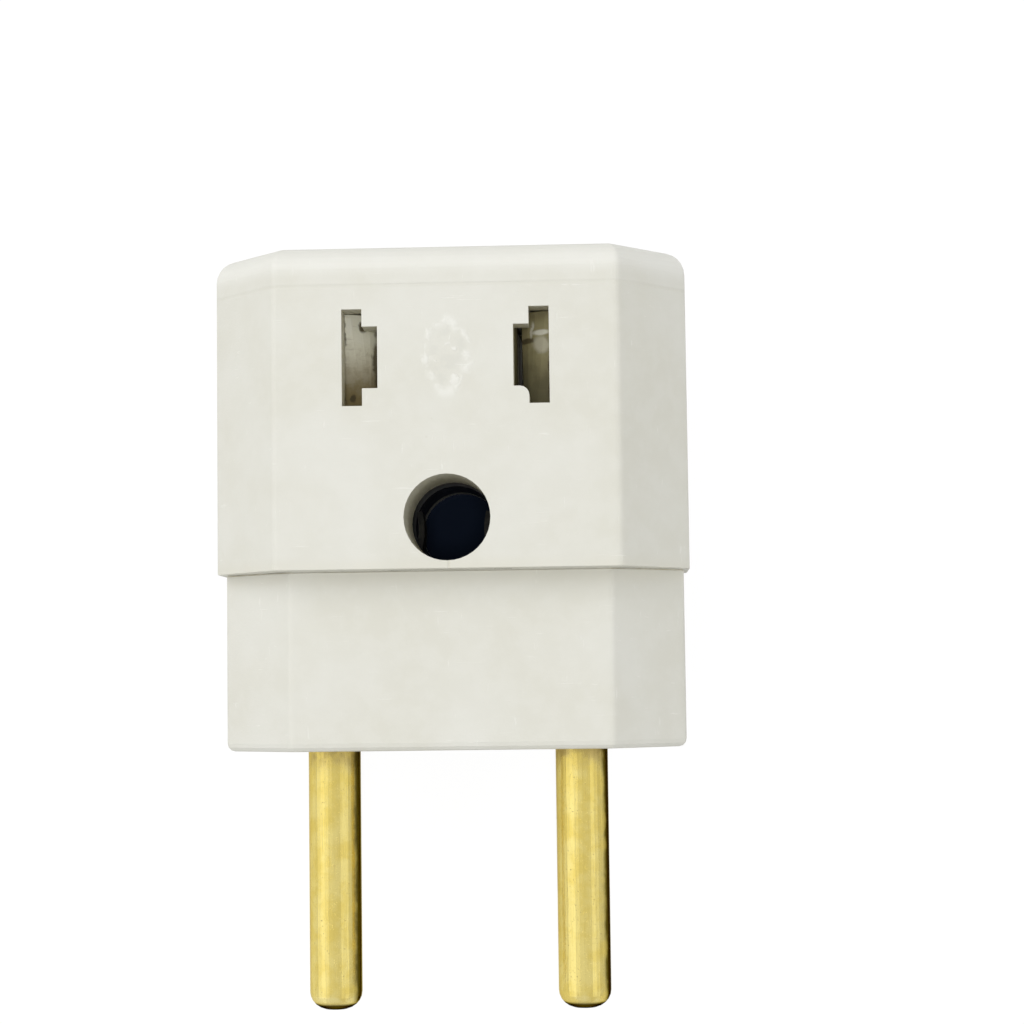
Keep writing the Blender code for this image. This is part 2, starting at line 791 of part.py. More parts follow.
def make_contact(pole, side, face, name, material, frame):
    """A strip bent into a U: two sprung leaves behind the slot on a heel riveted to the busbar.

    A blade can enter from this face and pass on towards the other face.
    """
    across = 14
    columns = [contact_column(-math.cos(math.pi * index / across)) for index in range(across + 1)]
    rows = [[(pole * x, y, side * z) for x, y, z in row] for row in zip(*columns)]
    title = face + "_contact_" + name
    contact = make_part(title, sheet(title, rows), material, frame)
    give_gauge(contact, contact_thickness)
    drill_rivet_hole(contact, pole, side, title + "_hole", contact_outer_x(), frame)
    return contact


def make_rivet(pole, side, face, name, material, frame):
    shank = rivet_diameter / 2
    head = rivet_head_diameter / 2
    inner = rivet_inner_x()
    outer = rivet_outer_x()
    profile = [
        (0.0, inner), (head * 0.6, inner), (head, inner + rivet_head_height * 0.6),
        (head, inner + rivet_head_height), (shank, inner + rivet_head_height),
        (shank, outer - rivet_head_height), (head, outer - rivet_head_height),
        (head, outer - rivet_head_height * 0.6), (head * 0.6, outer), (0.0, outer),
    ]
    title = face + "_rivet_" + name
    rivet = make_part(title, turned(title, profile, 20), material, frame)
    rivet.rotation_euler.z = math.radians(-90 * pole)
    rivet.location = (0.0, rivet_y(), rivet_z(side))
    return rivet


# Earth clip and its screw

def make_earth_clip(material, frame):
    """U of strip whose narrow arms pinch the earth pin between the two tubes, foot on the boss."""
    foot_y = floor_top_y + screw_boss_height + touch_gap + earth_clip_thickness / 2
    arm_x = earth_clip_spread / 2
    pinch_x = (earth_pin_diameter - earth_clip_grip) / 2 + earth_clip_thickness / 2
    arm = round_bends([(arm_x, 0.0), (arm_x, foot_y), (0.0, foot_y)], earth_clip_bend_radius)
    bow = []
    steps = 10
    for step in range(steps):
        share = step / steps
        y = (earth_above_step + earth_clip_arm_end) * (1 - share)
        squeeze = math.sin(math.pi * (0.3 + 0.7 * share))
        bow.append((arm_x - (arm_x - pinch_x) * squeeze, y))
    half = bow + arm
    mirrored = [(-x, y) for x, y in reversed(half[:-1])]
    rows = []
    for x, y in half + mirrored:
        width = earth_clip_arm_width if y > -touch_gap else earth_clip_foot_width
        rows.append([(x, y, side * width / 2) for side in (-1, 1)])
    clip = make_part("earth_clip", sheet("earth_clip", rows), material, frame)
    give_gauge(clip, earth_clip_thickness)
    hole = cylinder(
        "clip_hole", screw_diameter / 2 + touch_gap, 'Y', (0, 0), foot_y - overrun, foot_y + overrun)
    boolean(clip, make_tool("clip_hole", hole, frame), 'DIFFERENCE')
    return clip


def nut_low_y():
    return floor_top_y + screw_boss_height + 2 * touch_gap + earth_clip_thickness


def make_nut(material, frame):
    half = nut_width / 2
    low = nut_low_y()
    nut = make_part(
        "earth_nut", box("earth_nut", (-half, half), (low, low + nut_height), (-half, half)),
        material, frame)
    bore = cylinder(
        "nut_bore", screw_diameter / 2 + pin_gap, 'Y', (0, 0), low - overrun, low + nut_height + overrun)
    boolean(nut, make_tool("nut_bore", bore, frame), 'DIFFERENCE')
    return nut


def make_screw(material, frame):
    """Pan head in the recess of the plug's end, shank up through the boss, clip and nut."""
    seat = base_end_y + screw_recess_depth - touch_gap
    head = screw_head_diameter / 2
    shank = screw_diameter / 2
    bottom = seat - screw_head_height
    tip = nut_low_y() + nut_height + touch_gap
    profile = [
        (0.0, bottom), (head * 0.55, bottom + screw_head_height * 0.06),
        (head * 0.85, bottom + screw_head_height * 0.28), (head, bottom + screw_head_height * 0.62),
        (head, seat), (shank, seat), (shank, tip - shank / 2), (shank / 2, tip), (0.0, tip),
    ]
    screw = make_part("earth_screw", turned("earth_screw", profile, 32), material, frame)
    slot = box(
        "screw_slot", (-head - overrun, head + overrun),
        (bottom - overrun, bottom + screw_slot_depth), (-screw_slot_width / 2, screw_slot_width / 2))
    boolean(screw, make_tool("screw_slot", slot, frame), 'DIFFERENCE')
    return screw


def build():
    clear_scene()
    frame = bpy.data.objects.new("adapter_frame", None)
    bpy.context.scene.collection.objects.link(frame)
    frame.location = (0.0, step_y, mid_depth)

    ivory = make_material("ivory_plastic", (0.80, 0.79, 0.74), 0.42)
    carrier_plastic = make_material("carrier_plastic", (0.62, 0.60, 0.54), 0.55)
    brass = make_material("brass", (0.72, 0.55, 0.24), 0.32, 1.0)
    spring_bronze = make_material("spring_bronze", (0.50, 0.45, 0.33), 0.38, 1.0)
    steel = make_material("zinc_steel", (0.56, 0.57, 0.58), 0.35, 1.0)

    make_hood(ivory, frame)
    make_base(ivory, frame)
    make_carrier(carrier_plastic, frame)
    for pole, name in ((-1, "left"), (1, "right")):
        make_pin(pole, name, brass, frame)
        make_washer(pole, name, steel, frame)
        make_busbar(pole, name, brass, frame)
        for side, face in ((1, "front"), (-1, "back")):
            make_contact(pole, side, face, name, spring_bronze, frame)
            make_rivet(pole, side, face, name, brass, frame)
    make_earth_clip(spring_bronze, frame)
    make_screw(steel, frame)
    make_nut(steel, frame)


build()
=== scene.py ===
import math

import bpy
from mathutils import Matrix, Vector


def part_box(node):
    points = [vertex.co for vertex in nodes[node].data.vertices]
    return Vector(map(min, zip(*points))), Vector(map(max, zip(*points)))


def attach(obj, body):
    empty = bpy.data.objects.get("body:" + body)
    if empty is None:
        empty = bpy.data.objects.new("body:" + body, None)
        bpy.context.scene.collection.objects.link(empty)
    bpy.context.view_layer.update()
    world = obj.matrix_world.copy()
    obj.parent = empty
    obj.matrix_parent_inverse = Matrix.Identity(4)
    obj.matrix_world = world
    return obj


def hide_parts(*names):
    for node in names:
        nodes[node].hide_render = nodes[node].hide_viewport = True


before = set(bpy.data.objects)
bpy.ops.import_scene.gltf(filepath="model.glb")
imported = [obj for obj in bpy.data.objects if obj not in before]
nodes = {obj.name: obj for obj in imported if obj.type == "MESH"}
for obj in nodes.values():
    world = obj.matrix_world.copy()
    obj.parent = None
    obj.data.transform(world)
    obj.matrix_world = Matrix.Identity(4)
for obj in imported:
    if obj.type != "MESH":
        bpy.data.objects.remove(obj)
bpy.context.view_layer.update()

MM = 0.001


def box_mm(node):
    """Lowest and highest corner of a CAD node, in millimetres."""
    low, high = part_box(node)
    return low / MM, high / MM


# Places on the adapter, in millimetres, from the boxes of its nodes
hood_low, hood_high = box_mm("outlet_hood")
base_low, base_high = box_mm("plug_base")
pin_low, pin_high = box_mm("line_pin_right")
step_y = hood_low.y
hood_top_y = hood_high.y
front_z = hood_high.z
middle_z = front_z / 2
base_end_y = base_low.y
base_width = base_high.x - base_low.x
pin_x = (pin_low.x + pin_high.x) / 2
pin_tip_y = pin_low.y

# Heights of the slots and of the earth holes
slot_below_top = 8.45
slot_to_earth = 11.9
slot_y = hood_top_y - slot_below_top
earth_y = slot_y - slot_to_earth

# Box in which all slots and earth holes lie, and the stretch of it round the earth holes
openings_half_width = 8.6
openings_top_y = slot_y + 4.45
openings_low_y = earth_y - 3.05
earth_hole_reach = 4.3

# Depth of the base, and what its corners are cut by across and in depth
base_face_step = 2.9
base_depth = front_z - 2 * base_face_step
base_cut = (5.45, 4.5)

# Seam between the hood and the base, just below the step
seam_height = 0.1

# Blank oval between the front slots
oval_middle = (0.1, slot_y)
oval_pad_radii = (1.25, 2.45)
oval_rim_radii = (1.70, 2.95)

# Front contacts: above this height their ends are drawn longer by this share
leaf_foot_y = slot_y + 1.0
leaf_growth = 0.36

# From here to the middle and to the front their inner edges reach further in
leaf_widening = 0.32
leaf_inner_x = 5.9
leaf_inner_fade = 0.45
leaf_mouth_z = 13.5
leaf_mouth_fade = 1.5


# Shader building blocks

def add(tree, kind, inputs=None, **settings):
    """A new shader node; inputs holds values or sockets to link."""
    node = tree.nodes.new(kind)
    for key, value in settings.items():
        setattr(node, key, value)
    for key, value in (inputs or {}).items():
        socket = node.inputs[key]
        if isinstance(value, bpy.types.NodeSocket):
            tree.links.new(value, socket)
        else:
            socket.default_value = value
    return node


def calc(tree, operation, first, second=0.0, clamp=False):
    node = add(tree, "ShaderNodeMath", {0: first, 1: second}, operation=operation, use_clamp=clamp)
    return node.outputs[0]


def product(tree, first, *factors):
    """The first value times each of the factors."""
    result = first
    for factor in factors:
        result = calc(tree, 'MULTIPLY', result, factor)
    return result


def fade(tree, value, start, end, low=0.0, high=1.0):
    """Smooth step of value from start to end, giving low to high."""
    node = add(
        tree, "ShaderNodeMapRange",
        {"Value": value, "From Min": start, "From Max": end, "To Min": low, "To Max": high},
        interpolation_type='SMOOTHSTEP')
    return node.outputs["Result"]


def noise(tree, vector, scale, detail=3.0, roughness=0.55):
    node = add(
        tree, "ShaderNodeTexNoise",
        {"Vector": vector, "Scale": scale, "Detail": detail, "Roughness": roughness})
    return node.outputs[0]


def stretched(tree, vector, factors, offset=(0.0, 0.0, 0.0)):
    node = add(
        tree, "ShaderNodeMapping", {"Vector": vector, "Scale": factors, "Location": offset})
    return node.outputs[0]


def shifted(tree, vector, offset):
    return stretched(tree, vector, (1.0, 1.0, 1.0), offset)


def mixed(tree, factor, first, second):
    node = add(tree, "ShaderNodeMix", {0: factor, 6: first, 7: second}, data_type='RGBA')
    return node.outputs[2]


def layered(tree, tone, layers):
    """The tone under a row of layers, each a mask, its strength and its colour."""
    for mask, strength, tint in layers:
        tone = mixed(tree, calc(tree, 'MULTIPLY', mask, strength), tone, tint)
    return tone


def colour(red, green, blue):
    return (red, green, blue, 1.0)


def millimetres(tree):
    """The place in the row frame, as a vector."""
    source = add(tree, "ShaderNodeTexCoord")
    scaled = add(
        tree, "ShaderNodeVectorMath", {0: source.outputs["Object"], "Scale": 1.0 / MM},
        operation='SCALE')
    return scaled.outputs[0]


def components(tree, vector):
    """The x, y and z of a vector."""
    parts = add(tree, "ShaderNodeSeparateXYZ", {0: vector})
    return parts.outputs[0], parts.outputs[1], parts.outputs[2]


def near(tree, value, middle, half_width, soft):
    """1 within half_width of the middle, falling to 0 over soft."""
    distance = calc(tree, 'ABSOLUTE', calc(tree, 'SUBTRACT', value, middle))
    return fade(tree, distance, half_width, half_width + soft, 1.0, 0.0)


def length_of(tree, first, second):
    squares = [calc(tree, 'MULTIPLY', side, side) for side in (first, second)]
    return calc(tree, 'SQRT', calc(tree, 'ADD', *squares))


def patch(tree, x, y, middle, radii, soft=0.35):
    """1 inside an ellipse, falling to 0 over a share of its radii."""
    across = calc(tree, 'DIVIDE', calc(tree, 'SUBTRACT', x, middle[0]), radii[0])
    along = calc(tree, 'DIVIDE', calc(tree, 'SUBTRACT', y, middle[1]), radii[1])
    return fade(tree, length_of(tree, across, along), 1.0 - soft, 1.0 + soft, 1.0, 0.0)


def bumped(tree, height, distance, strength, under=None):
    """Normal for a height, the distance in millimetres, on top of the normal under it."""
    inputs = {"Height": height, "Distance": distance * MM, "Strength": strength}
    if under is not None:
        inputs["Normal"] = under
    return add(tree, "ShaderNodeBump", inputs).outputs[0]


def blank_material(name):
    material = bpy.data.materials.new(name)
    material.use_nodes = True
    tree = material.node_tree
    shader = tree.nodes["Principled BSDF"]
    return material, tree, shader


def finished(tree, shader, tone, roughness, normal):
    """Link a material's tone, roughness and normal to its shader."""
    tree.links.new(tone, shader.inputs["Base Color"])
    tree.links.new(roughness, shader.inputs["Roughness"])
    tree.links.new(normal, shader.inputs["Normal"])


def dress(names, material):
    for name in names:
        slots = nodes[name].material_slots
        if not slots:
            nodes[name].data.materials.append(material)
        for slot in slots:
            slot.material = material


# Moulded ivory plastic

def specks(tree, moved):
    """Rare small dots from handling."""
    cells = add(tree, "ShaderNodeTexVoronoi", {"Vector": moved, "Scale": 0.42}, feature='F1')
    dots = fade(tree, cells.outputs["Distance"], 0.03, 0.07, 1.0, 0.0)
    return calc(tree, 'MULTIPLY', dots, fade(tree, noise(tree, moved, 0.3), 0.56, 0.64))


def scuffs(tree, moved, mottle, seed):
    """Thin streaks in two directions, in some of the mottle's patches."""
    streaks = []
    for factors in ((0.25, 3.2, 1.0), (2.6, 0.35, 1.0)):
        lines = noise(tree, stretched(tree, moved, factors, (seed, 3.0, 1.0)), 1.0, 2.0, 0.7)
        streaks.append(fade(tree, lines, 0.67, 0.73))
    return calc(tree, 'MULTIPLY', calc(tree, 'MAXIMUM', *streaks), fade(tree, mottle, 0.45, 0.60))


def weld_line(tree, here, x, y, z):
    """Line on the front where the plastic met between the earth hole and the step."""
    waves = noise(tree, stretched(tree, here, (0.2, 1.0, 0.2)), 0.3)
    wandering_x = calc(tree, 'SUBTRACT', x, fade(tree, waves, 0.0, 1.0, -0.12, 0.12))
    return product(
        tree, near(tree, wandering_x, 0.10, 0.02, 0.13),
        fade(tree, z, middle_z + 2.5, middle_z + 4.5),
        fade(tree, y, earth_y - 2.0, earth_y - 3.6),
        fade(tree, y, step_y - 0.1, step_y + 0.05))


def step_corner_shade(tree, y, mottle):
    """Painted shade in the corner below the step, uneven with the mottle."""
    return calc(
        tree, 'MULTIPLY', near(tree, y, step_y - 0.2, 0.25, 1.1),
        fade(tree, mottle, 0.3, 0.7, 0.25, 0.6))


def parting_line(tree, y, clouds):
    """Line where the two halves of the hood's mould met, fainter in places."""
    return calc(
        tree, 'MULTIPLY', near(tree, y, hood_top_y - 3.1, 0.03, 0.16),
        fade(tree, clouds, 0.30, 0.60, 0.35, 1.0))


def oval_mark(tree, moved, x, y, z):
    """Blank oval on the front: its pale parts, the rubbed ones of them, and its shaded parts."""
    front = fade(tree, z, front_z - 0.3, front_z - 0.1)
    shaky_x = calc(tree, 'ADD', x, fade(tree, noise(tree, moved, 0.9, 2.0), 0.3, 0.7, -0.25, 0.25))
    inner = patch(tree, shaky_x, y, oval_middle, oval_pad_radii, 0.16)
    outer = patch(tree, shaky_x, y, oval_middle, oval_rim_radii, 0.14)
    blots = noise(tree, moved, 1.1, 2.0, 0.5)
    rim = product(
        tree, calc(tree, 'SUBTRACT', outer, inner), front, fade(tree, blots, 0.40, 0.58, 0.10, 1.0))
    pad = calc(tree, 'MULTIPLY', inner, front)
    shaded = calc(tree, 'MULTIPLY', pad, fade(tree, blots, 0.52, 0.36))
    rubbed = calc(tree, 'MULTIPLY', pad, fade(tree, blots, 0.56, 0.66))
    return calc(tree, 'MAXIMUM', rim, rubbed), rubbed, shaded


def opening_shade_and_grit(tree, tone, moved, x, y, z):
    """The tone with painted shade on the walls of slots and earth holes: olive painted shade mixed with
    grit, near-black painted shade deeper in, and a pale band round the earth holes.
    """
    lit_depth = 2.3
    dark_depth = 3.0
    earth_hole_extra = 5.9
    pale_edge_z = middle_z + 2.0
    back_hole_z = 5.3
    # Near-black colour of the painted shade
    dark = colour(0.012, 0.013, 0.018)

    depth = calc(tree, 'MINIMUM', z, calc(tree, 'SUBTRACT', front_z, z))
    middle_y = (openings_top_y + openings_low_y) / 2
    half_height = (openings_top_y - openings_low_y) / 2
    inside = product(
        tree, near(tree, x, 0.0, openings_half_width, 0.4), near(tree, y, middle_y, half_height, 0.4),
        fade(tree, y, step_y + 0.1, step_y + 0.4))
    hole = near(tree, y, earth_y, earth_hole_reach, 0.5)
    grit = fade(tree, noise(tree, moved, 3.2, 4.0, 0.8), 0.42, 0.62, 0.40, 1.0)
    # Olive painted shade on the walls, broken up by grit
    olive = product(
        tree, inside, fade(tree, depth, 0.02, 0.35), grit, fade(tree, hole, 0.0, 1.0, 0.85, 0.60))

    # The painted shade in the earth holes starts further down than in the slots
    slot_depth = calc(tree, 'SUBTRACT', depth, calc(tree, 'MULTIPLY', hole, earth_hole_extra))
    deep = calc(tree, 'MULTIPLY', inside, fade(tree, slot_depth, lit_depth, dark_depth))
    # Pale band round the earth holes at pale_edge_z, and near-black painted shade round back_hole_z
    edge = product(tree, inside, hole, near(tree, z, pale_edge_z, 0.20, 0.40))
    bottom = product(tree, inside, hole, near(tree, z, back_hole_z, 3.0, 1.2))
    return layered(tree, tone, [
        (olive, 1.0, colour(0.50, 0.455, 0.28)),
        (deep, 0.97, dark),
        (edge, 0.3, colour(0.80, 0.78, 0.66)),
        (bottom, 0.95, dark)])


def ivory_plastic(name, seed):
    """Satin ivory moulding: cloudy tone, fine grain, scuffs and handling specks, with painted shade
    below the step and in the openings and a painted highlight along the top edge.
    """
    material, tree, shader = blank_material(name)
    here = millimetres(tree)
    x, y, z = components(tree, here)
    moved = shifted(tree, here, (seed, seed * 0.7, seed * 1.3))
    clouds = noise(tree, moved, 0.09, 2.0)
    mottle = noise(tree, moved, 0.55, 4.0, 0.6)
    grain = noise(tree, moved, 5.0, 2.0, 0.6)
    scuff = scuffs(tree, moved, mottle, seed)
    weld = weld_line(tree, here, x, y, z)
    parting = parting_line(tree, y, clouds)
    pale, rubbed, shaded = oval_mark(tree, moved, x, y, z)

    tone = mixed(
        tree, fade(tree, clouds, 0.35, 0.68), colour(0.650, 0.638, 0.567), colour(0.683, 0.675, 0.618))
    tone = layered(tree, tone, [
        (fade(tree, mottle, 0.38, 0.66), 0.30, colour(0.716, 0.708, 0.655)),
        (fade(tree, grain, 0.60, 0.80), 0.10, colour(0.62, 0.60, 0.50)),
        (specks(tree, moved), 0.22, colour(0.42, 0.38, 0.28)),
        (scuff, 0.25, colour(0.88, 0.87, 0.83)),
        (weld, 0.30, colour(0.50, 0.47, 0.37)),
        (step_corner_shade(tree, y, mottle), 0.30, colour(0.60, 0.56, 0.42)),
        (parting, 0.16, colour(0.58, 0.56, 0.47)),
        # Lighter band along the top edge of the hood: painted highlight
        (fade(tree, y, hood_top_y - 2.6, hood_top_y - 1.2), 0.55, colour(0.80, 0.795, 0.755)),
        (shaded, 0.20, colour(0.56, 0.56, 0.52)),
        (pale, 0.36, colour(0.88, 0.875, 0.84))])
    tone = opening_shade_and_grit(tree, tone, moved, x, y, z)

    gloss = fade(tree, mottle, 0.3, 0.7, 0.36, 0.50)
    gloss = calc(tree, 'ADD', gloss, calc(tree, 'MULTIPLY', scuff, 0.14))
    gloss = calc(tree, 'ADD', gloss, calc(tree, 'MULTIPLY', rubbed, -0.08), clamp=True)

    marks = calc(tree, 'SUBTRACT', calc(tree, 'MULTIPLY', pale, 0.9), weld)
    for mark, height in ((parting, 0.8), (scuff, 0.25)):
        marks = calc(tree, 'SUBTRACT', marks, calc(tree, 'MULTIPLY', mark, height))
    skin = bumped(tree, grain, 0.02, 0.55)
    waves = bumped(tree, noise(tree, moved, 0.22, 1.0), 0.12, 0.35, skin)
    finished(tree, shader, tone, gloss, bumped(tree, marks, 0.05, 0.8, waves))
    shader.inputs["Specular IOR Level"].default_value = 0.42
    return material


def carrier_plastic():
    """Matt beige moulding with cloudy tone and darker grain."""
    material, tree, shader = blank_material("carrier_beige")
    here = millimetres(tree)
    cloud = noise(tree, here, 0.35, 3.0)
    grain = noise(tree, here, 4.0, 2.0)
    tone = mixed(
        tree, fade(tree, cloud, 0.35, 0.65), colour(0.60, 0.57, 0.46), colour(0.72, 0.70, 0.60))
    tone = layered(tree, tone, [(fade(tree, grain, 0.55, 0.75), 0.25, colour(0.44, 0.40, 0.30))])
    roughness = fade(tree, grain, 0.3, 0.7, 0.55, 0.72)
    finished(tree, shader, tone, roughness, bumped(tree, grain, 0.03, 0.5))
    return material


# Metals

def pin_brass(name, seed, axis_x):
    """Bright drawn brass: fine lengthwise drawing lines, pits, and tarnish near the base."""
    material, tree, shader = blank_material(name)
    here = millimetres(tree)
    x, y, z = components(tree, here)
    moved = shifted(tree, here, (seed, 0.0, seed * 2.0))
    lines = noise(tree, stretched(tree, moved, (7.0, 0.30, 7.0)), 1.0, 3.0, 0.65)
    cloud = noise(tree, moved, 0.6, 3.0, 0.6)
    grit = noise(tree, moved, 6.5, 3.0, 0.7)
    pits = calc(
        tree, 'MULTIPLY', fade(tree, grit, 0.64, 0.70), fade(tree, cloud, 0.42, 0.58, 0.3, 1.0))
    stain = calc(
        tree, 'MULTIPLY', fade(tree, y, base_end_y - 2.2, base_end_y, 0.0, 0.7),
        fade(tree, cloud, 0.35, 0.62, 0.2, 1.0))

    # Painted highlight in a ring where the dome begins, and dark painted reflection on the dome
    painted_highlights = calc(
        tree, 'MULTIPLY', near(tree, y, pin_tip_y + 0.88, 0.10, 0.20),
        fade(tree, cloud, 0.40, 0.60, 0.05, 0.5))
    dome_dark_reflection = fade(tree, y, pin_tip_y + 0.62, pin_tip_y + 0.38, 0.0, 0.92)

    # Dark painted reflection along the upper right flank too
    side = calc(
        tree, 'ADD', calc(tree, 'SUBTRACT', x, axis_x), fade(tree, cloud, 0.3, 0.7, -0.08, 0.08))
    flank_dark_reflection = calc(
        tree, 'ADD', fade(tree, side, 1.30, 1.62, 0.0, 0.35), fade(tree, side, 1.52, 1.80, 0.0, 0.57))
    flank_dark_reflection = calc(tree, 'MULTIPLY', flank_dark_reflection, fade(tree, z, middle_z - 0.2, middle_z + 0.6))
    painted_dark_reflection = calc(tree, 'MAXIMUM', flank_dark_reflection, dome_dark_reflection)

    tone = mixed(
        tree, fade(tree, cloud, 0.35, 0.65), colour(0.82, 0.645, 0.170), colour(0.89, 0.74, 0.26))
    tone = layered(tree, tone, [
        (fade(tree, lines, 0.50, 0.72), 0.40, colour(0.68, 0.52, 0.13)),
        (pits, 0.55, colour(0.26, 0.17, 0.05)),
        (stain, 1.0, colour(0.34, 0.23, 0.08)),
        (fade(tree, y, pin_tip_y + 1.4, pin_tip_y + 0.1), 0.20, colour(0.52, 0.42, 0.20)),
        (painted_highlights, 1.0, colour(0.95, 0.83, 0.38)),
        (painted_dark_reflection, 1.0, colour(0.07, 0.05, 0.008))])

    gloss = fade(tree, lines, 0.3, 0.7, 0.15, 0.28)
    gloss = calc(tree, 'ADD', gloss, calc(tree, 'MULTIPLY', pits, 0.25))
    gloss = calc(tree, 'ADD', gloss, calc(tree, 'MULTIPLY', stain, 0.20), clamp=True)
    drawn = bumped(tree, lines, 0.02, 0.6)
    finished(tree, shader, tone, gloss, bumped(tree, pits, 0.03, 0.6, drawn))
    shader.inputs["Metallic"].default_value = 1.0
    # The dark painted reflection also darkens the specular tint
    tree.links.new(
        mixed(tree, painted_dark_reflection, colour(0.80, 0.72, 0.50), colour(0.04, 0.03, 0.01)),
        shader.inputs["Specular Tint"])
    return material


def aged_metal(name, bright, dull, rough, seed, metallic=1.0):
    """Stamped or turned metal with cloudy tarnish and fine marks."""
    material, tree, shader = blank_material(name)
    moved = shifted(tree, millimetres(tree), (seed, seed, 0.0))
    cloud = noise(tree, moved, 0.5, 4.0, 0.6)
    lines = noise(tree, stretched(tree, moved, (0.6, 7.0, 0.6)), 1.0, 2.0)
    tone = mixed(tree, fade(tree, cloud, 0.38, 0.64), bright, dull)
    tone = layered(tree, tone, [(fade(tree, lines, 0.55, 0.75), 0.35, dull)])
    roughness = fade(tree, cloud, 0.3, 0.7, rough, rough + 0.22)
    finished(tree, shader, tone, roughness, bumped(tree, lines, 0.02, 0.5))
    shader.inputs["Metallic"].default_value = metallic
    return material


def contact_metal(name, bright, dull, seed, painted_highlights, painted_shade_patches):
    """Plated spring strip, browner down the leaf, with wiped streaks.

    The two lists give patches of painted highlight and of painted shade: middle and radii (x, y), and
    strength.
    """
    material, tree, shader = blank_material(name)
    here = millimetres(tree)
    x, y, _ = components(tree, here)
    moved = shifted(tree, here, (seed, 0.0, seed))
    cloud = noise(tree, moved, 0.9, 4.0, 0.6)
    streaks = noise(tree, stretched(tree, moved, (0.5, 5.0, 0.5)), 1.0, 2.0, 0.7)
    wavy_x = calc(tree, 'ADD', x, fade(tree, cloud, 0.3, 0.7, -0.12, 0.12))
    wavy_y = calc(tree, 'ADD', y, fade(tree, cloud, 0.3, 0.7, -0.6, 0.6))

    layers = [
        (fade(tree, cloud, 0.50, 0.72), 0.35, dull),
        (fade(tree, streaks, 0.58, 0.74), 0.22, colour(0.28, 0.22, 0.12))]
    # Patches of painted shade, dark, and of painted highlight, pale
    for patches, tint in ((painted_shade_patches, colour(0.12, 0.095, 0.05)), (painted_highlights, colour(0.97, 0.95, 0.82))):
        for middle, radii, strength in patches:
            layers.append((patch(tree, wavy_x, y, middle, radii), strength, tint))
    tone = mixed(tree, fade(tree, wavy_y, slot_y + 2.2, slot_y - 2.6), bright, dull)
    tone = layered(tree, tone, layers)
    roughness = fade(tree, cloud, 0.3, 0.7, 0.38, 0.58)
    finished(tree, shader, tone, roughness, bumped(tree, streaks, 0.02, 0.5))
    shader.inputs["Metallic"].default_value = 0.15
    return material


def zinc_steel():
    """Zinc-plated steel with turning marks round the screw's axis."""
    material, tree, shader = blank_material("zinc_plate")
    here = millimetres(tree)
    x, _, z = components(tree, here)
    radius = length_of(tree, x, calc(tree, 'SUBTRACT', z, middle_z))
    rings = add(
        tree, "ShaderNodeTexNoise", {"W": radius, "Scale": 9.0, "Detail": 3.0},
        noise_dimensions='1D')
    cloud = noise(tree, here, 0.5, 3.0)
    tone = mixed(
        tree, fade(tree, cloud, 0.35, 0.65), colour(0.50, 0.51, 0.52), colour(0.36, 0.36, 0.35))
    roughness = fade(tree, cloud, 0.3, 0.7, 0.30, 0.48)
    finished(tree, shader, tone, roughness, bumped(tree, rings.outputs[0], 0.02, 0.5))
    shader.inputs["Metallic"].default_value = 1.0
    return material


dress(["outlet_hood"], ivory_plastic("ivory_hood", seed=2.0))
dress(["plug_base"], ivory_plastic("ivory_base", seed=41.0))
dress(["contact_carrier"], carrier_plastic())
dress(["line_pin_left"], pin_brass("pin_brass_left", seed=5.0, axis_x=-pin_x))
dress(["line_pin_right"], pin_brass("pin_brass_right", seed=19.0, axis_x=pin_x))
dress(
    ["busbar_left", "busbar_right", "front_rivet_left", "front_rivet_right",
     "back_rivet_left", "back_rivet_right"],
    aged_metal(
        "strip_brass", colour(0.66, 0.50, 0.20), colour(0.36, 0.25, 0.10), rough=0.30, seed=3.0))
# The contacts' patch lists are painted highlights and painted shade
contact_bright = contact_metal(
    "contact_bright", colour(0.97, 0.95, 0.80), colour(0.30, 0.235, 0.11), seed=11.0,
    painted_highlights=[((-7.42, 23.0), (0.20, 0.60), 1.0), ((-6.3, 22.1), (0.9, 0.45), 0.6)],
    painted_shade_patches=[((-6.45, 22.95), (0.26, 0.42), 0.95), ((-7.85, 22.4), (0.16, 0.9), 0.8),
             ((-5.5, 20.6), (0.30, 2.6), 0.9), ((-7.3, 17.65), (0.22, 0.28), 0.9),
             ((-6.5, 17.0), (0.25, 0.25), 0.8)])
contact_dull = contact_metal(
    "contact_dull", colour(0.45, 0.40, 0.22), colour(0.20, 0.18, 0.10), seed=29.0,
    painted_highlights=[((7.0, 22.28), (0.60, 0.20), 1.0), ((6.3, 22.5), (0.10, 0.55), 0.7),
          ((7.0, 21.4), (0.6, 0.6), 0.45)],
    painted_shade_patches=[((5.95, 21.75), (0.62, 0.20), 0.9), ((7.62, 18.6), (0.10, 2.4), 0.85),
             ((6.8, 24.0), (1.0, 0.9), 0.35), ((6.6, 16.85), (1.4, 0.22), 0.9)])
dress(["front_contact_left", "back_contact_right"], contact_bright)
dress(["front_contact_right", "back_contact_left"], contact_dull)
# The earth clip is coloured near black: painted shade
dress(
    ["earth_clip"],
    aged_metal(
        "clip_bronze_painted_shade", colour(0.040, 0.038, 0.032), colour(0.018, 0.018, 0.018), rough=0.50,
        seed=23.0, metallic=0.5))
dress(["earth_screw", "earth_nut", "pin_washer_left", "pin_washer_right"], zinc_steel())


# Fine pieces

